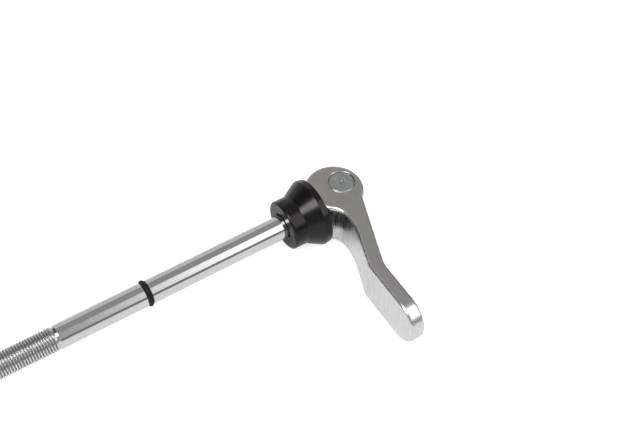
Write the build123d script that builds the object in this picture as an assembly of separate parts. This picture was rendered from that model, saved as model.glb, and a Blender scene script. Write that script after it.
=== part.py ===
from build123d import *
import os
from math import cos, hypot, radians, sin, sqrt

# A quick-release cam lever on its axle: a round rod with a threaded end, a rubber ring that keeps
# the loose collar from sliding off, a turned collar that bears on the clamped part, and an
# eccentric lever that turns about a cross pin and draws the rod through the collar.
#
# Millimetres.  +X runs along the axle from the thread to the lever, the closed lever points to -Y,
# and the cross pin is parallel to Z.  The origin is the centre of the collar's clamping face.

# ---- Axle -------------------------------------------------------------------------------------
SHANK_DIAMETER = 8.9
THREAD_PROUD = 0.05           # crests of the rolled M9x1 thread above the shank
THREAD_LENGTH = 40.0
THREAD_END_CHAMFER = 0.8
RUN_OUT_WIDTH = 1.0           # groove where the thread ends at the shank
RUN_OUT_DEPTH = 0.45
AXLE_REACH = 130.0            # clamping face to the threaded end
SPIGOT_DIAMETER = 6.0         # the reduced end that screws into the cross pin
SPIGOT_SHORTFALL = 0.8        # from the spigot's end to the far side of the pin
SHOULDER_GAP = 0.1            # between the shank's shoulder and the cross pin
SHOULDER_CHAMFER = 0.4

# ---- Rubber ring ------------------------------------------------------------------------------
RING_SECTION = 1.8
RING_PROUD = 0.6              # above the shank, and more than the collar's clearance
RING_DISTANCE = 56.3          # clamping face to the middle of the ring
GROOVE_CLEARANCE = 0.15       # on each side of the ring
RING_SEAT_GAP = 0.02          # between the ring and the bottom of its groove

# ---- Collar -----------------------------------------------------------------------------------
COLLAR_LENGTH = 14.0
NOSE_DIAMETER = 19.1
NOSE_LENGTH = 5.5
NOSE_EDGE_RADIUS = 0.8
RIM_WIDTH = 2.5
RIM_LIP = 0.95                # wall round the cup at the back of the rim
RIM_TAPER = 0.25              # radial, from the back of the rim to its front
RIM_EDGE_RADIUS = 0.3
COLLAR_CLEARANCE = 0.4        # radial, between the shank and the collar's bore
BORE_CHAMFER = 0.4
CUP_DEPTH = 2.1               # the cup that the cam turns in
CUP_CLEARANCE = 0.7           # radial, round the cam's corners

# ---- Cam lever --------------------------------------------------------------------------------
LEVER_WIDTH = 19.0
CAM_RADIUS = 11.1             # the round head
CAM_OFFSET = 4.0              # centre of the head from the pin, towards the collar
CAM_DROP = 1.1                # centre of the head from the pin, towards the handle
DWELL_RADIUS = 13.4           # the part of the cam that bears on the collar when closed
SEAT_GAP = 0.2                # between the cam and the floor of the collar's cup
NECK_ANGLE = 19.7             # how far the neck leans towards the collar
NECK_OFFSET = 6.1             # outer face of the neck from the pin's axis
NECK_ROOT_RADIUS = 1.0        # where the neck's outer face leaves the head
NECK_THICKNESS = 6.0
PADDLE_THICKNESS = 5.7
BEND_RADIUS = 10.0            # middle of the bend between neck and paddle
PADDLE_OFFSET = 10.1          # centre line of the paddle from the pin, towards the collar
LEVER_REACH = 64.3            # pin to tip
HOLLOW_RADIUS = 7.1           # the tight upper arc of the finger hollow
HOLLOW_BITE = 0.4             # how far that arc cuts into the dwell's circle
HOLLOW_DEPTH = 8.65           # its centre from the inner face of the neck
HOLLOW_RUN_OUT = 25.0         # the gentle arc that runs the hollow out into the neck
HEEL_RADIUS = 1.5             # the cam's two corners, beside the dwell
TIP_FLAT = 0.6                # left straight between the tip's two rounded corners
EDGE_RADIUS = 1.1
SLOT_CLEARANCE = 0.35         # the axle in the slot, and the pin over the bottom of the slot

# ---- Cross pin --------------------------------------------------------------------------------
PIN_DIAMETER = 10.0
PIN_CLEARANCE = 0.04          # radial, in the lever's bore
PIN_INSET = 0.1               # below the lever's side faces
PIN_CHAMFER = 0.5
PIN_BORE_CHAMFER = 0.15
PIN_CENTRE_DIAMETER = 1.2     # small centring dimple in each end
PIN_CENTRE_DEPTH = 0.3
TAPPED_CLEARANCE = 0.03       # between the spigot and the pin's tapped hole

# ---- Places worked out from the sizes above -----------------------------------------------------
PIN_X = COLLAR_LENGTH - CUP_DEPTH + SEAT_GAP + DWELL_RADIUS
SHOULDER_X = PIN_X - PIN_DIAMETER / 2 - SHOULDER_GAP
SLOT_WIDTH = SHANK_DIAMETER + 2 * SLOT_CLEARANCE
SLOT_FLOOR = SHANK_DIAMETER / 2 + SLOT_CLEARANCE
CORNER_LOSS = EDGE_RADIUS / 3           # what the rounded edges take off the cam's corners
CORNER_RISE = sqrt((DWELL_RADIUS - CORNER_LOSS) ** 2 - (PIN_X - COLLAR_LENGTH) ** 2)
CUP_RADIUS = hypot(LEVER_WIDTH / 2 - CORNER_LOSS, CORNER_RISE) + CUP_CLEARANCE
GROOVE_RADIUS = SHANK_DIAMETER / 2 + RING_PROUD - RING_SECTION - RING_SEAT_GAP
GROOVE_WIDTH = RING_SECTION + 2 * GROOVE_CLEARANCE


def turned(points):
    """A solid of revolution about the X axis from (x, radius) points."""
    return revolve(make_face(Polyline(*points, close=True)), Axis.X)


def round_corner(profile, point, radius):
    """The profile with its corner nearest to the point rounded."""
    corner = profile.vertices().sort_by_distance(point)[0]
    return fillet(corner, radius)


def make_axle_rod():
    """Shank, thread zone and spigot turned from one bar, with the groove for the rubber ring."""
    shank = SHANK_DIAMETER / 2
    thread = shank + THREAD_PROUD
    spigot = SPIGOT_DIAMETER / 2
    end = -AXLE_REACH
    thread_start = end + THREAD_LENGTH
    run_out_end = thread_start + RUN_OUT_WIDTH + RUN_OUT_DEPTH
    groove_start = -RING_DISTANCE - GROOVE_WIDTH / 2
    groove_end = -RING_DISTANCE + GROOVE_WIDTH / 2
    spigot_end = PIN_X + PIN_DIAMETER / 2 - SPIGOT_SHORTFALL
    return turned([
        (end, 0),
        (end, thread - THREAD_END_CHAMFER),
        (end + THREAD_END_CHAMFER, thread),
        (thread_start, thread),
        (thread_start + RUN_OUT_DEPTH, thread - RUN_OUT_DEPTH),
        (run_out_end - RUN_OUT_DEPTH, thread - RUN_OUT_DEPTH),
        (run_out_end - THREAD_PROUD, shank),
        (groove_start, shank),
        (groove_start, GROOVE_RADIUS),
        (groove_end, GROOVE_RADIUS),
        (groove_end, shank),
        (SHOULDER_X - SHOULDER_CHAMFER, shank),
        (SHOULDER_X, shank - SHOULDER_CHAMFER),
        (SHOULDER_X, spigot),
        (spigot_end, spigot),
        (spigot_end, 0),
    ])


def make_o_ring():
    """The round rubber ring in its groove."""
    middle_radius = GROOVE_RADIUS + RING_SEAT_GAP + RING_SECTION / 2
    return revolve(Pos(-RING_DISTANCE, middle_radius) * Circle(RING_SECTION / 2), Axis.X)


def make_cam_collar():
    """The loose collar: a cylindrical nose, a cone, and a rim round the shallow cup for the cam."""
    nose = NOSE_DIAMETER / 2
    bore = SHANK_DIAMETER / 2 + COLLAR_CLEARANCE
    cup_floor = COLLAR_LENGTH - CUP_DEPTH
    rim_back = (COLLAR_LENGTH, CUP_RADIUS + RIM_LIP)
    rim_front = (COLLAR_LENGTH - RIM_WIDTH, CUP_RADIUS + RIM_LIP + RIM_TAPER)
    profile = make_face(Polyline(
        (0, bore + BORE_CHAMFER),
        (0, nose),
        (NOSE_LENGTH, nose),
        rim_front,
        rim_back,
        (COLLAR_LENGTH, CUP_RADIUS),
        (cup_floor, CUP_RADIUS),
        (cup_floor, bore + BORE_CHAMFER),
        (cup_floor - BORE_CHAMFER, bore),
        (BORE_CHAMFER, bore),
        close=True,
    ))
    profile = round_corner(profile, (0, nose), NOSE_EDGE_RADIUS)
    profile = round_corner(profile, rim_front, RIM_EDGE_RADIUS)
    profile = round_corner(profile, rim_back, RIM_EDGE_RADIUS)
    return revolve(profile, Axis.X)


def circles_meet(centre_a, radius_a, centre_b, radius_b, side):
    """One of the two points where two circles cross; side is 1 or -1, left or right of a to b."""
    across = centre_b - centre_a
    distance = across.length
    forward = (radius_a ** 2 - radius_b ** 2 + distance ** 2) / (2 * distance)
    half_chord = sqrt(radius_a ** 2 - forward ** 2)
    unit = across.normalized()
    return centre_a + unit * forward + Vector(-unit.Y, unit.X) * half_chord * side


def lever_profile():
    """The lever's side outline, drawn with the pin at (0, 0) and the handle towards -Y."""
    pin = Vector(0, 0)
    along = Vector(-sin(radians(NECK_ANGLE)), -cos(radians(NECK_ANGLE)))
    outward = Vector(cos(radians(NECK_ANGLE)), -sin(radians(NECK_ANGLE)))
    inner_offset = NECK_OFFSET - NECK_THICKNESS
    head_centre = Vector(-CAM_OFFSET, -CAM_DROP)
    paddle_outer = -PADDLE_OFFSET + PADDLE_THICKNESS / 2
    paddle_inner = -PADDLE_OFFSET - PADDLE_THICKNESS / 2

    # The arm: the leaning neck and the straight paddle, with one bend between them.
    outer_bend = outward * NECK_OFFSET
    outer_bend += along * ((paddle_outer - outer_bend.X) / along.X)
    inner_bend = outward * inner_offset
    inner_bend += along * ((paddle_inner - inner_bend.X) / along.X)
    arm = make_face(Polyline(
        outward * NECK_OFFSET,
        outward * inner_offset,
        inner_bend,
        (paddle_inner, -LEVER_REACH),
        (paddle_outer, -LEVER_REACH),
        outer_bend,
        close=True,
    ))
    arm = round_corner(arm, inner_bend, BEND_RADIUS - NECK_THICKNESS / 2)
    arm = round_corner(arm, outer_bend, BEND_RADIUS + NECK_THICKNESS / 2)

    # The web under the head: a tight arc that runs out along a gentle one into the neck.
    run = sqrt((HOLLOW_RUN_OUT - HOLLOW_RADIUS) ** 2 - (HOLLOW_RUN_OUT - HOLLOW_DEPTH) ** 2)
    tight_offset = inner_offset - HOLLOW_DEPTH
    tight_distance = DWELL_RADIUS + HOLLOW_RADIUS - HOLLOW_BITE
    hollow_drop = sqrt(tight_distance ** 2 - tight_offset ** 2)
    tight_centre = outward * tight_offset + along * hollow_drop
    gentle_centre = outward * (inner_offset - HOLLOW_RUN_OUT) + along * (hollow_drop + run)
    to_join = (tight_centre - gentle_centre).normalized()
    join = tight_centre + to_join * HOLLOW_RADIUS
    neck_end = outward * inner_offset + along * (hollow_drop + run)
    heel = circles_meet(pin, DWELL_RADIUS, tight_centre, HOLLOW_RADIUS, -1)
    tight_arc = RadiusArc(heel, join, HOLLOW_RADIUS)
    gentle_arc = RadiusArc(join, neck_end, HOLLOW_RUN_OUT)
    web = make_face([
        tight_arc,
        gentle_arc,
        Polyline(neck_end, neck_end + outward * NECK_THICKNESS / 2, pin, heel),
    ])

    # The round head, cut back to the dwell round the pin.
    head = Pos(head_centre) * Circle(CAM_RADIUS) & Circle(DWELL_RADIUS)
    head -= Pos(tight_centre) * Circle(HOLLOW_RADIUS)
    profile = head + web + arm

    dwell_start = circles_meet(pin, DWELL_RADIUS, head_centre, CAM_RADIUS, -1)
    neck_root_run = sqrt(CAM_RADIUS ** 2 - (NECK_OFFSET - head_centre.dot(outward)) ** 2)
    neck_root = outward * NECK_OFFSET + along * (head_centre.dot(along) + neck_root_run)
    profile = round_corner(profile, heel, HEEL_RADIUS)
    profile = round_corner(profile, dwell_start, HEEL_RADIUS)
    return round_corner(profile, neck_root, NECK_ROOT_RADIUS)


def make_cam_lever():
    """The lever: an extruded bar of the side outline, tongue-ended, slotted for the axle."""
    half_width = LEVER_WIDTH / 2
    bar = extrude(lever_profile(), half_width, both=True)

    # The tip seen from the front is a rounded tongue.
    tip_corner_radius = (LEVER_WIDTH - TIP_FLAT) / 2
    top = CAM_RADIUS + DWELL_RADIUS
    depth = CAM_RADIUS + DWELL_RADIUS + PADDLE_OFFSET
    tongue = make_face(Polyline(
        (0, -LEVER_REACH, -half_width),
        (0, -LEVER_REACH, half_width),
        (0, top, half_width),
        (0, top, -half_width),
        close=True,
    ))
    tip_corners = tongue.vertices().sort_by(Axis.Y)[:2]
    tongue = fillet(tip_corners, tip_corner_radius)
    bar &= extrude(tongue, depth, dir=(1, 0, 0), both=True)

    # Every outside edge is rounded, apart from those that only join two smooth faces.
    across = [e for e in bar.edges().filter_by(Axis.Z) if e.length > half_width]
    through = bar.edges().filter_by(Axis.X)
    bar = fillet([e for e in bar.edges() if e not in across and e not in through], EDGE_RADIUS)

    # The slot lets the axle swing from the collar's side over the top of the head.
    slot_height = top + SLOT_FLOOR
    slot = Pos(0, slot_height / 2 - SLOT_FLOOR) * Box(2 * depth, slot_height, SLOT_WIDTH)
    slot += Cylinder(PIN_DIAMETER / 2 + SLOT_CLEARANCE, SLOT_WIDTH)
    bar -= slot
    bore_radius = PIN_DIAMETER / 2 + PIN_CLEARANCE
    bar -= Cylinder(bore_radius, LEVER_WIDTH)
    for side in (-1, 1):
        sink = Cone(bore_radius, bore_radius + PIN_BORE_CHAMFER, PIN_BORE_CHAMFER)
        bar -= Rot(Y=90 - 90 * side) * Pos(Z=half_width - PIN_BORE_CHAMFER / 2) * sink
    return Pos(PIN_X) * bar


def make_pivot_pin():
    """The cross pin in the lever's head, cross-drilled and tapped for the axle's spigot."""
    length = LEVER_WIDTH - 2 * PIN_INSET
    radius = PIN_DIAMETER / 2
    barrel = Cylinder(radius, length)
    barrel = chamfer(barrel.edges().filter_by(GeomType.CIRCLE), PIN_CHAMFER)
    barrel -= Rot(Y=90) * Cylinder(SPIGOT_DIAMETER / 2 + TAPPED_CLEARANCE, PIN_DIAMETER)
    for side in (-1, 1):
        dimple = Cone(0.01, PIN_CENTRE_DIAMETER / 2, PIN_CENTRE_DEPTH)
        barrel -= Rot(Y=90 - 90 * side) * Pos(Z=length / 2 - PIN_CENTRE_DEPTH / 2) * dimple
    return Pos(PIN_X) * barrel


NODES = {
    "axle_rod": make_axle_rod,
    "o_ring": make_o_ring,
    "cam_collar": make_cam_collar,
    "cam_lever": make_cam_lever,
    "pivot_pin": make_pivot_pin,
}

os.makedirs("parts", exist_ok=True)
for node, make in NODES.items():
    export_step(make(), f"parts/{node}.step")
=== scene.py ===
import bmesh
import bpy
from math import cos, pi, radians, sin
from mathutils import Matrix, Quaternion, Vector


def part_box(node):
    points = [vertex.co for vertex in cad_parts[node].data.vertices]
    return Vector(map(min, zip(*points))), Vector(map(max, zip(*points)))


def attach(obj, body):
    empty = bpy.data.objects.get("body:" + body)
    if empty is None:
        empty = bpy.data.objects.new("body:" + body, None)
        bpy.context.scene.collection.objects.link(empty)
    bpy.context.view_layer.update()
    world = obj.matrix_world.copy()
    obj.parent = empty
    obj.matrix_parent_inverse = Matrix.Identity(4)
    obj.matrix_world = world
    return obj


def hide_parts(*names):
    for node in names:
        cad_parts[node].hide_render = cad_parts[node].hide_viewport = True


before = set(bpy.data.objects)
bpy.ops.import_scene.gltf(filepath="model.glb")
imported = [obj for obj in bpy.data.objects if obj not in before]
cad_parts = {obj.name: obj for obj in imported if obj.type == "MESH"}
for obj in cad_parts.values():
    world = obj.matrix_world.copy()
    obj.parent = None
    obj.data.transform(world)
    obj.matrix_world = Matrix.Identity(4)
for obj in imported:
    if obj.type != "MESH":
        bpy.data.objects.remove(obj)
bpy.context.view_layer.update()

# ---- Axle rod ---------------------------------------------------------------------------------
# A 9 mm steel bar, turned down at one end to the spigot that screws into the cross pin, grooved
# for the rubber ring and rolled at the other end with a fine M9x1 thread.  It is bright zinc
# plated: the plating is slightly uneven, so it mirrors the room in long wavering bands.
MM = 0.001
ROD_SEGMENTS = 96
THREAD_PITCH = 1.0 * MM
THREAD_DEPTH = 0.46 * THREAD_PITCH
THREAD_CREST = 0.36                    # the flat crest's share of a pitch, and the root's below
THREAD_ROOT = 0.16
THREAD_FADE = 0.5 * THREAD_PITCH       # over which the thread runs out before the groove
THREAD_ROWS = 16                       # rows of mesh to one pitch
THREAD_LENGTH = 38.6 * MM
THREAD_END_CHAMFER = 0.8 * MM
RUN_OUT_DEPTH = 0.45 * MM
RUN_OUT_WIDTH = 1.0 * MM
RUN_OUT_BEVEL = 0.9 * MM               # the long bevel from the run-out up to the shank
SHANK_RADIUS = 4.45 * MM
SPIGOT_RADIUS = 3.0 * MM
SHOULDER_CHAMFER = 0.4 * MM
RING_GROOVE_CLEARANCE = 0.15 * MM
RING_SECTION = 1.8 * MM
RING_SEAT_GAP = 0.02 * MM              # under the rubber ring, at the bottom of its groove
SHOULDER_GAP = 0.1 * MM                # between the shank's shoulder and the cross pin
EDGE_BREAK = 0.06 * MM                 # the tiny rounding on a turned edge

rod_low, rod_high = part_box("axle_rod")
ring_low, ring_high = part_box("o_ring")
pin_low, pin_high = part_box("pivot_pin")
thread_radius = rod_high.y
thread_end = rod_low.x + THREAD_LENGTH
run_out_end = thread_end + RUN_OUT_WIDTH + RUN_OUT_DEPTH
ring_groove_radius = ring_high.y - RING_SECTION - RING_SEAT_GAP
shoulder_x = pin_low.x - SHOULDER_GAP


def thread_radius_at(x, angle):
    """The rolled thread's surface: flat crest, straight flanks and a flat root."""
    turn = (x / THREAD_PITCH - angle / (2 * pi)) % 1.0
    from_crest = min(turn, 1.0 - turn) * 2.0
    flank = min(max((from_crest - THREAD_CREST) / (1.0 - THREAD_CREST - THREAD_ROOT), 0.0), 1.0)
    cut = THREAD_DEPTH * flank
    fade = min(max((thread_end - x) / THREAD_FADE, 0.0), 1.0)
    end_cone = thread_radius - THREAD_END_CHAMFER + (x - rod_low.x)
    run_out_cone = thread_radius - (x - thread_end)
    return min(thread_radius - cut * fade, end_cone, run_out_cone)


def ring_of_points(solid, x, radius_at):
    """One ring of vertices round the X axis, whose radius may change with the angle."""
    ring = []
    for k in range(ROD_SEGMENTS):
        angle = 2 * pi * k / ROD_SEGMENTS
        radius = radius_at(x, angle)
        ring.append(solid.verts.new((x, radius * cos(angle), radius * sin(angle))))
    return ring


def join_rings(solid, rings):
    """Skins one ring to the next and closes both ends with a flat face."""
    count = len(rings[0])
    for ring, following in zip(rings, rings[1:]):
        for k in range(count):
            after = (k + 1) % count
            solid.faces.new((ring[k], ring[after], following[after], following[k]))
    solid.faces.new(list(reversed(rings[0])))
    solid.faces.new(rings[-1])


def keep_ring_sharp(solid, ring):
    """Marks the edges of one ring as a hard corner."""
    for k in range(len(ring)):
        solid.edges.get((ring[k - 1], ring[k])).smooth = False


rod_solid = bmesh.new()
rod_rings = []
thread_rows = round((thread_end + RUN_OUT_DEPTH - rod_low.x) / THREAD_PITCH * THREAD_ROWS)
for row in range(thread_rows + 1):
    x = rod_low.x + row * THREAD_PITCH / THREAD_ROWS
    rod_rings.append(ring_of_points(rod_solid, x, thread_radius_at))

shank_outline = [
    (run_out_end - RUN_OUT_BEVEL, thread_radius - RUN_OUT_DEPTH),
    (run_out_end - EDGE_BREAK, SHANK_RADIUS - EDGE_BREAK),
    (run_out_end, SHANK_RADIUS),
    (ring_low.x - RING_GROOVE_CLEARANCE - EDGE_BREAK, SHANK_RADIUS),
    (ring_low.x - RING_GROOVE_CLEARANCE, SHANK_RADIUS - EDGE_BREAK),
    (ring_low.x - RING_GROOVE_CLEARANCE, ring_groove_radius),
    (ring_high.x + RING_GROOVE_CLEARANCE, ring_groove_radius),
    (ring_high.x + RING_GROOVE_CLEARANCE, SHANK_RADIUS - EDGE_BREAK),
    (ring_high.x + RING_GROOVE_CLEARANCE + EDGE_BREAK, SHANK_RADIUS),
    (shoulder_x - SHOULDER_CHAMFER, SHANK_RADIUS),
    (shoulder_x, SHANK_RADIUS - SHOULDER_CHAMFER),
    (shoulder_x, SPIGOT_RADIUS),
    (rod_high.x, SPIGOT_RADIUS),
]
for x, radius in shank_outline:
    rod_rings.append(ring_of_points(rod_solid, x, lambda x, angle: radius))
join_rings(rod_solid, rod_rings)
for ring in [rod_rings[0]] + rod_rings[thread_rows + 1:]:
    keep_ring_sharp(rod_solid, ring)
for face in rod_solid.faces:
    face.smooth = True
rod_mesh = bpy.data.meshes.new("axle_rod_threaded")
rod_solid.to_mesh(rod_mesh)
rod_solid.free()
threaded_rod = bpy.data.objects.new("axle_rod_threaded", rod_mesh)
bpy.context.collection.objects.link(threaded_rod)


def value_group(name, inputs, outputs):
    """An empty node group with named number inputs and outputs, and its input and output nodes."""
    group = bpy.data.node_groups.new(name, "ShaderNodeTree")
    for label, kind, value in inputs:
        socket = group.interface.new_socket(label, in_out="INPUT", socket_type=kind)
        if value is not None:
            socket.default_value = value
    for label, kind in outputs:
        group.interface.new_socket(label, in_out="OUTPUT", socket_type=kind)
    return group, group.nodes.new("NodeGroupInput"), group.nodes.new("NodeGroupOutput")


def noise(tree, vector, scale, detail):
    """A noise texture read at a vector; the scale is a socket or a number."""
    node = tree.nodes.new("ShaderNodeTexNoise")
    node.inputs["Detail"].default_value = detail
    if isinstance(scale, (int, float)):
        node.inputs["Scale"].default_value = scale
    else:
        tree.links.new(scale, node.inputs["Scale"])
    tree.links.new(vector, node.inputs["Vector"])
    return node.outputs["Fac"]


def math(tree, operation, first, second=0.0):
    """A maths node; each operand is a socket or a number."""
    node = tree.nodes.new("ShaderNodeMath")
    node.operation = operation
    for socket, operand in zip(node.inputs, (first, second)):
        if isinstance(operand, (int, float)):
            socket.default_value = operand
        else:
            tree.links.new(operand, socket)
    return node.outputs[0]


# Stretched grain: noise drawn out along the piece's axes, for brushing, drawing and turning lines.
grain_group, grain_in, grain_out = value_group(
    "stretched_grain",
    [("Position", "NodeSocketVector", None),
     ("Stretch", "NodeSocketVector", (1.0, 1.0, 1.0)),
     ("Fineness", "NodeSocketFloat", 1000.0)],
    [("Height", "NodeSocketFloat")],
)
grain_squeeze = grain_group.nodes.new("ShaderNodeVectorMath")
grain_squeeze.operation = "MULTIPLY"
grain_group.links.new(grain_in.outputs["Position"], grain_squeeze.inputs[0])
grain_group.links.new(grain_in.outputs["Stretch"], grain_squeeze.inputs[1])
grain_height = noise(grain_group, grain_squeeze.outputs[0], grain_in.outputs["Fineness"], 3.0)
grain_group.links.new(grain_height, grain_out.inputs["Height"])

# Mottle: patches of two sizes that change a finish's tone and gloss from place to place.
mottle_group, mottle_in, mottle_out = value_group(
    "mottle",
    [("Position", "NodeSocketVector", None),
     ("Patches", "NodeSocketFloat", 300.0),
     ("Contrast", "NodeSocketFloat", 1.0)],
    [("Tone", "NodeSocketFloat")],
)
FINE_PATCHES = 2600.0
FINE_SHARE = 0.4
mottle_broad = noise(mottle_group, mottle_in.outputs["Position"], mottle_in.outputs["Patches"], 2.0)
mottle_fine = noise(mottle_group, mottle_in.outputs["Position"], FINE_PATCHES, 3.0)
mottle_fine = math(mottle_group, "MULTIPLY", mottle_fine, FINE_SHARE)
mottle_sum = math(mottle_group, "ADD", mottle_broad, mottle_fine)
mottle_centred = math(mottle_group, "SUBTRACT", mottle_sum, 0.5 + 0.5 * FINE_SHARE)
mottle_scaled = math(mottle_group, "MULTIPLY", mottle_centred, mottle_in.outputs["Contrast"])
mottle_group.links.new(math(mottle_group, "ADD", mottle_scaled, 0.5), mottle_out.inputs["Tone"])


def finish(name, metallic):
    """A new material, its node tree, its Principled shader and the piece's own coordinates."""
    material = bpy.data.materials.new(name)
    material.use_nodes = True
    shader = material.node_tree.nodes["Principled BSDF"]
    shader.inputs["Metallic"].default_value = metallic
    place = material.node_tree.nodes.new("ShaderNodeTexCoord")
    return material, material.node_tree, shader, place.outputs["Object"]


def use_group(tree, group, position, **values):
    """Places a shared group in a material with its own values."""
    node = tree.nodes.new("ShaderNodeGroup")
    node.node_tree = group
    tree.links.new(position, node.inputs["Position"])
    for label, value in values.items():
        node.inputs[label].default_value = value
    return node.outputs[0]


def between(tree, amount, low, high):
    """A colour or number that runs from low to high as the amount goes from 0 to 1."""
    node = tree.nodes.new("ShaderNodeMix")
    if isinstance(low, tuple):
        node.data_type = "RGBA"
        sockets = node.inputs[6], node.inputs[7], node.outputs[2]
        low, high = (*low, 1.0), (*high, 1.0)
    else:
        sockets = node.inputs[2], node.inputs[3], node.outputs[0]
    tree.links.new(amount, node.inputs["Factor"])
    sockets[0].default_value = low
    sockets[1].default_value = high
    return sockets[2]


def bump(tree, shader, height, depth):
    """Raises the surface by a height map; depth is in metres."""
    node = tree.nodes.new("ShaderNodeBump")
    node.inputs["Strength"].default_value = 1.0
    node.inputs["Distance"].default_value = depth
    tree.links.new(height, node.inputs["Height"])
    tree.links.new(node.outputs["Normal"], shader.inputs["Normal"])


def ramp(tree, value, start, end):
    """0 at start, 1 at end, with a smooth change between."""
    node = tree.nodes.new("ShaderNodeMapRange")
    node.interpolation_type = "SMOOTHSTEP"
    tree.links.new(value, node.inputs["Value"])
    node.inputs["From Min"].default_value = start
    node.inputs["From Max"].default_value = end
    return node.outputs["Result"]


def mix(tree, amount, low, high):
    """A colour or number that runs from one socket to another as the amount goes from 0 to 1."""
    node = tree.nodes.new("ShaderNodeMix")
    colours = low.type == "RGBA"
    if colours:
        node.data_type = "RGBA"
    tree.links.new(amount, node.inputs["Factor"])
    tree.links.new(low, node.inputs[6 if colours else 2])
    tree.links.new(high, node.inputs[7 if colours else 3])
    return node.outputs[2 if colours else 0]


zinc, tree, shader, place = finish("bright_zinc_plate", 1.0)
zinc_tone = use_group(tree, mottle_group, place, Patches=420.0, Contrast=1.0)
place_split = tree.nodes.new("ShaderNodeSeparateXYZ")
tree.links.new(place, place_split.inputs[0])
rod_x, rod_y, rod_z = place_split.outputs
axis_squares = math(tree, "ADD", math(tree, "POWER", rod_y, 2.0), math(tree, "POWER", rod_z, 2.0))
from_axis = math(tree, "SQRT", axis_squares)
SHADE_AND_GLOSS_CHANGE = 0.3 * MM              # over which the painted shade in the thread's roots and their rougher plating give way to the bright shank
root_top = thread_radius - 0.8 * THREAD_DEPTH
crest_foot = thread_radius - 0.15 * THREAD_DEPTH
past_thread = ramp(tree, rod_x, thread_end - SHADE_AND_GLOSS_CHANGE, thread_end)
on_crest = math(tree, "MAXIMUM", ramp(tree, from_axis, root_top, crest_foot), past_thread)
bright_plate = between(tree, zinc_tone, (0.65, 0.67, 0.67), (0.75, 0.76, 0.75))
# Painted shade: the thread's roots get a darker plating colour than the crests, standing in for the
# shade in the grooves.
shaded_root_plate = between(tree, zinc_tone, (0.31, 0.32, 0.30), (0.43, 0.44, 0.42))
tree.links.new(mix(tree, on_crest, shaded_root_plate, bright_plate), shader.inputs["Base Color"])
root_gloss = between(tree, zinc_tone, 0.32, 0.42)
crest_gloss = between(tree, zinc_tone, 0.18, 0.26)
shank_gloss = between(tree, zinc_tone, 0.06, 0.13)
thread_gloss = mix(tree, on_crest, root_gloss, crest_gloss)
tree.links.new(mix(tree, past_thread, thread_gloss, shank_gloss), shader.inputs["Roughness"])
zinc_waver = use_group(tree, grain_group, place, Stretch=(0.45, 1.0, 1.0), Fineness=700.0)
bump(tree, shader, zinc_waver, 0.011 * MM)
threaded_rod.data.materials.append(zinc)
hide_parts("axle_rod")
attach(threaded_rod, "axle")

# ---- Rubber ring ------------------------------------------------------------------------------
# A moulded black rubber ring, stretched into its groove so that the loose collar can't slide off.
# Rubber like this is matt, with a faint dusty grain.
rubber, tree, shader, place = finish("moulded_rubber", 0.0)
rubber_tone = use_group(tree, mottle_group, place, Patches=900.0, Contrast=1.2)
rubber_black = between(tree, rubber_tone, (0.004, 0.004, 0.004), (0.010, 0.010, 0.010))
tree.links.new(rubber_black, shader.inputs["Base Color"])
tree.links.new(between(tree, rubber_tone, 0.42, 0.6), shader.inputs["Roughness"])
shader.inputs["Specular IOR Level"].default_value = 0.25
bump(tree, shader, use_group(tree, grain_group, place, Fineness=3000.0), 0.01 * MM)
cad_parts["o_ring"].material_slots[0].material = rubber

# ---- Collar -----------------------------------------------------------------------------------
# Turned from black acetal bar: a nose, a cone and a rim.  The lathe leaves very fine rings on it,
# and the plastic has a soft sheen.
acetal, tree, shader, place = finish("turned_black_acetal", 0.0)
acetal_tone = use_group(tree, mottle_group, place, Patches=500.0, Contrast=1.0)
acetal_black = between(tree, acetal_tone, (0.003, 0.0025, 0.003), (0.006, 0.005, 0.006))
tree.links.new(acetal_black, shader.inputs["Base Color"])
tree.links.new(between(tree, acetal_tone, 0.17, 0.26), shader.inputs["Roughness"])
shader.inputs["Specular IOR Level"].default_value = 0.4
shader.inputs["Specular Tint"].default_value = (1.0, 0.94, 0.98, 1.0)
acetal_rings = use_group(tree, grain_group, place, Stretch=(1.0, 0.02, 0.02), Fineness=6000.0)
bump(tree, shader, acetal_rings, 0.002 * MM)
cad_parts["cam_collar"].material_slots[0].material = acetal

# ---- Cam lever --------------------------------------------------------------------------------
# Milled from aluminium bar and tumbled to a satin finish, with its edges broken.  The faces that
# the cutter swept keep fine lines across the lever's width; the flat sides are even and matt.
satin, tree, shader, place = finish("satin_aluminium", 1.0)
satin_tone = use_group(tree, mottle_group, place, Patches=260.0, Contrast=0.8)
facing = tree.nodes.new("ShaderNodeTexCoord")
facing_split = tree.nodes.new("ShaderNodeSeparateXYZ")
tree.links.new(facing.outputs["Normal"], facing_split.inputs[0])
sideways = math(tree, "ABSOLUTE", facing_split.outputs["Z"])
flat_side = ramp(tree, sideways, 0.985, 0.998)
matt_metal = between(tree, satin_tone, (0.575, 0.538, 0.512), (0.705, 0.66, 0.63))
swept_metal = between(tree, satin_tone, (0.72, 0.72, 0.715), (0.80, 0.80, 0.795))
tree.links.new(mix(tree, flat_side, swept_metal, matt_metal), shader.inputs["Base Color"])
cutter_lines = use_group(tree, grain_group, place, Stretch=(1.0, 1.0, 0.03), Fineness=2600.0)
swept_gloss = between(tree, cutter_lines, 0.15, 0.37)
matt_gloss = between(tree, satin_tone, 0.26, 0.36)
tree.links.new(mix(tree, flat_side, swept_gloss, matt_gloss), shader.inputs["Roughness"])
bump(tree, shader, cutter_lines, 0.007 * MM)
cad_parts["cam_lever"].material_slots[0].material = satin
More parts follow.
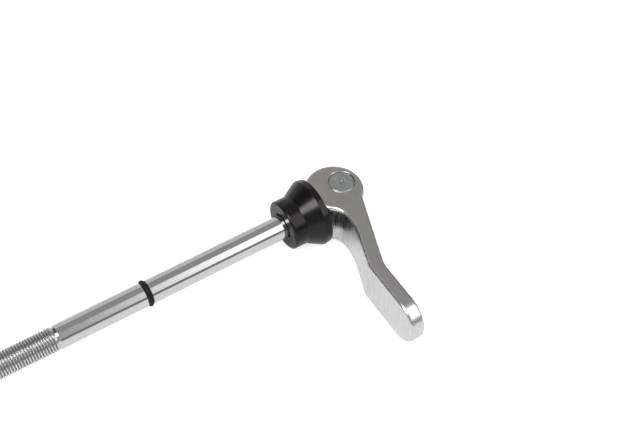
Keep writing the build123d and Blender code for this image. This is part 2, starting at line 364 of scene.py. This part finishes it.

# ---- Cross pin --------------------------------------------------------------------------------
# A 10 mm steel pin, cross-drilled and tapped for the axle, chamfered and zinc plated.  Its faced
# ends are duller than the rod, with patches of green-grey plating; the centring dimple on its
# upper end is painted darker, as painted shade in the recess.
pin_zinc, tree, shader, place = finish("dull_zinc_plate", 1.0)
pin_tone = use_group(tree, mottle_group, place, Patches=520.0, Contrast=1.8)
DIMPLE_INSIDE = 0.5 * MM
DIMPLE_OUTSIDE = 0.8 * MM
from_dimple = tree.nodes.new("ShaderNodeVectorMath")
from_dimple.operation = "DISTANCE"
tree.links.new(place, from_dimple.inputs[0])
from_dimple.inputs[1].default_value = ((pin_low.x + pin_high.x) / 2, 0.0, pin_high.z)
outside_dimple = ramp(tree, from_dimple.outputs["Value"], DIMPLE_INSIDE, DIMPLE_OUTSIDE)
pin_plate = between(tree, pin_tone, (0.42, 0.455, 0.425), (0.58, 0.62, 0.585))
# Painted shade: the centring dimple gets a darker colour than the faced end around it.
shaded_dimple_plate = between(tree, pin_tone, (0.26, 0.27, 0.26), (0.32, 0.33, 0.32))
tree.links.new(mix(tree, outside_dimple, shaded_dimple_plate, pin_plate), shader.inputs["Base Color"])
tree.links.new(between(tree, pin_tone, 0.30, 0.46), shader.inputs["Roughness"])
bump(tree, shader, use_group(tree, grain_group, place, Fineness=1300.0), 0.006 * MM)
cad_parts["pivot_pin"].material_slots[0].material = pin_zinc

# ---- Studio -----------------------------------------------------------------------------------
# A white sheet under the part, a pale wall behind it, dark walls to the left and right, a grey
# ceiling and two large soft lights.
# The part lies as it comes to rest: on the collar's rim, the lever's tip and the end of the axle.
collar_low, collar_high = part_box("cam_collar")
lever_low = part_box("cam_lever")[0]
FLOOR_GAP = 0.2 * MM
FLOOR_REACH = 2.5
TIP_CONTACT = 9.0 * MM                 # from the lever's end to where it touches the floor
tip_contact_y = lever_low.y + TIP_CONTACT
slope_x = (collar_low.z - rod_low.z) / (collar_high.x - rod_low.x)
slope_y = (collar_low.z - lever_low.z) / -tip_contact_y


def floor_height(x, y):
    """The plane through the three places that the part rests on."""
    return collar_low.z - FLOOR_GAP + slope_x * (x - collar_high.x) + slope_y * y


floor_mesh = bpy.data.meshes.new("floor")
floor_corners = [(-1, -1), (1, -1), (1, 1), (-1, 1)]
floor_points = [(FLOOR_REACH * i, FLOOR_REACH * j) for i, j in floor_corners]
floor_mesh.from_pydata([(x, y, floor_height(x, y)) for x, y in floor_points], [], [(0, 1, 2, 3)])
floor = bpy.data.objects.new("floor", floor_mesh)
bpy.context.collection.objects.link(floor)

WHITE = (1.0, 1.0, 1.0, 1.0)
PAPER_WHITE = (0.68, 0.68, 0.675, 1.0)
FLOOR_GLOW = 0.80                      # what the camera sees before the lights add to it
FLOOR_SHEEN = 0.22                     # the same for mirrors and glass
paper = bpy.data.materials.new("white_paper")
paper.use_nodes = True
tree = paper.node_tree
tree.nodes.remove(tree.nodes["Principled BSDF"])
paper_diffuse = tree.nodes.new("ShaderNodeBsdfDiffuse")
paper_diffuse.inputs["Color"].default_value = PAPER_WHITE
paper_glow = tree.nodes.new("ShaderNodeEmission")
paper_glow.inputs["Color"].default_value = WHITE
rays = tree.nodes.new("ShaderNodeLightPath")
mirrored = math(tree, "MAXIMUM", rays.outputs["Is Glossy Ray"], rays.outputs["Is Transmission Ray"])
seen = math(tree, "MULTIPLY", rays.outputs["Is Camera Ray"], FLOOR_GLOW)
seen = math(tree, "MAXIMUM", seen, math(tree, "MULTIPLY", mirrored, FLOOR_SHEEN))
tree.links.new(seen, paper_glow.inputs["Strength"])
paper_sum = tree.nodes.new("ShaderNodeAddShader")
tree.links.new(paper_diffuse.outputs[0], paper_sum.inputs[0])
tree.links.new(paper_glow.outputs[0], paper_sum.inputs[1])
tree.links.new(paper_sum.outputs[0], tree.nodes["Material Output"].inputs["Surface"])
floor_mesh.materials.append(paper)

# One panel of the room: 1 inside a window, 0 outside, with soft edges.  Its place is given the way
# the rod mirrors it: how far it stands along the rod (-1 to 1), and the angle round the rod.
panel_group, panel_in, panel_out = value_group(
    "room_panel",
    [("Along", "NodeSocketFloat", 0.0),
     ("Round", "NodeSocketFloat", 0.0),
     ("From Along", "NodeSocketFloat", 0.0),
     ("To Along", "NodeSocketFloat", 0.0),
     ("From Round", "NodeSocketFloat", 0.0),
     ("To Round", "NodeSocketFloat", 0.0),
     ("Start Edge", "NodeSocketFloat", 0.05),
     ("Along Edge", "NodeSocketFloat", 0.05),
     ("Round Edge", "NodeSocketFloat", 3.0)],
    [("Mask", "NodeSocketFloat")],
)


def panel_side(label, start, edge):
    """The part of the mask that starts at one limit of the window."""
    node = panel_group.nodes.new("ShaderNodeMapRange")
    node.interpolation_type = "SMOOTHSTEP"
    start, edge = panel_in.outputs[start], panel_in.outputs[edge]
    panel_group.links.new(panel_in.outputs[label], node.inputs["Value"])
    panel_group.links.new(math(panel_group, "SUBTRACT", start, edge), node.inputs["From Min"])
    panel_group.links.new(math(panel_group, "ADD", start, edge), node.inputs["From Max"])
    return node.outputs["Result"]


inside = panel_side("Along", "From Along", "Start Edge")
inside = math(panel_group, "MULTIPLY", inside, panel_side("Round", "From Round", "Round Edge"))
for label, limit, edge in (("Along", "To Along", "Along Edge"), ("Round", "To Round", "Round Edge")):
    beyond = panel_side(label, limit, edge)
    inside = math(panel_group, "MULTIPLY", inside, math(panel_group, "SUBTRACT", 1.0, beyond))
panel_group.links.new(inside, panel_out.inputs["Mask"])

world = bpy.data.worlds.new("studio")
world.use_nodes = True
tree = world.node_tree
bpy.context.scene.world = world
look = tree.nodes.new("ShaderNodeTexCoord")
look_split = tree.nodes.new("ShaderNodeSeparateXYZ")
tree.links.new(look.outputs["Generated"], look_split.inputs[0])
along, north, up = look_split.outputs
around = math(tree, "MULTIPLY", math(tree, "ARCTAN2", up, north), 180.0 / pi)


def panel(along_span, round_span, round_edge, start_edge=0.05, along_edge=0.05):
    """One panel of the room; round is 0 at the back wall, 90 overhead and 180 in front."""
    node = tree.nodes.new("ShaderNodeGroup")
    node.node_tree = panel_group
    tree.links.new(along, node.inputs["Along"])
    tree.links.new(around, node.inputs["Round"])
    limits = (*along_span, *round_span, start_edge, along_edge, round_edge)
    for socket, value in zip(list(node.inputs)[2:], limits):
        socket.default_value = value
    return node.outputs["Mask"]


def paint(under, mask, colour):
    """Lays a panel's colour over what is already there."""
    node = tree.nodes.new("ShaderNodeMix")
    node.data_type = "RGBA"
    tree.links.new(mask, node.inputs["Factor"])
    if isinstance(under, tuple):
        node.inputs[6].default_value = (*under, 1.0)
    else:
        tree.links.new(under, node.inputs[6])
    node.inputs[7].default_value = (*colour, 1.0)
    return node.outputs[2]


grey_ceiling = (0.32, 0.33, 0.325)
back_wall = panel((-0.35, 0.72), (-30.0, 46.0), 2.0)
wall_top_trim = panel((-0.35, 0.72), (45.5, 50.0), 1.5)
left_wall = panel((-2.0, -0.35), (-30.0, 78.0), 5.0)
right_wall = panel((0.72, 2.0), (-30.0, 62.0), 5.0)
low_front = panel((-0.20, 0.76), (154.0, 210.0), 1.5)
left_light = panel((-0.78, -0.15), (85.0, 113.0), 7.0, start_edge=0.07, along_edge=0.08)
front_light = panel((0.22, 0.70), (99.0, 155.0), 3.0, start_edge=0.16)
floor_mask = math(tree, "SUBTRACT", 1.0, ramp(tree, up, -0.08, -0.02))
room = paint(grey_ceiling, back_wall, (0.62, 0.62, 0.59))
room = paint(room, wall_top_trim, (0.20, 0.19, 0.16))
room = paint(room, left_wall, (0.10, 0.10, 0.10))
room = paint(room, right_wall, (0.12, 0.12, 0.12))
room = paint(room, low_front, (0.22, 0.23, 0.24))
room = paint(room, left_light, (6.8, 6.8, 6.8))
room = paint(room, front_light, (1.8, 1.8, 1.8))
room = paint(room, floor_mask, (0.90, 0.90, 0.89))
background = tree.nodes["Background"]
white_background = tree.nodes.new("ShaderNodeBackground")
white_background.inputs["Color"].default_value = WHITE
world_mix = tree.nodes.new("ShaderNodeMixShader")
rays = tree.nodes.new("ShaderNodeLightPath")
tree.links.new(room, background.inputs["Color"])
tree.links.new(rays.outputs["Is Camera Ray"], world_mix.inputs[0])
tree.links.new(background.outputs[0], world_mix.inputs[1])
tree.links.new(white_background.outputs[0], world_mix.inputs[2])
tree.links.new(world_mix.outputs[0], tree.nodes["World Output"].inputs["Surface"])

# The camera looks down on the part from the collar's side, past the closed lever.
CAMERA_BEARING = radians(-34.87)
CAMERA_HEIGHT = radians(52.33)
CAMERA_ROLL = radians(2.56)
CAMERA_DISTANCE = 420.3 * MM
CAMERA_LENS = 63.56
camera_aim = Vector((14.9, -2.3, 0.0)) * MM
camera_back = Vector((
    sin(CAMERA_BEARING) * cos(CAMERA_HEIGHT),
    -cos(CAMERA_BEARING) * cos(CAMERA_HEIGHT),
    sin(CAMERA_HEIGHT),
))
camera_data = bpy.data.cameras.new("camera")
camera_data.sensor_width = 36.0
camera_data.lens = CAMERA_LENS
camera_data.clip_start = 10.0 * MM
camera_data.clip_end = 20.0
camera = bpy.data.objects.new("camera", camera_data)
bpy.context.collection.objects.link(camera)
camera.location = camera_aim + camera_back * CAMERA_DISTANCE
camera.rotation_mode = "QUATERNION"
camera_roll = Quaternion((0, 0, 1), CAMERA_ROLL)
camera.rotation_quaternion = (-camera_back).to_track_quat("-Z", "Y") @ camera_roll
bpy.context.scene.camera = camera
bpy.context.scene.view_settings.view_transform = "Standard"
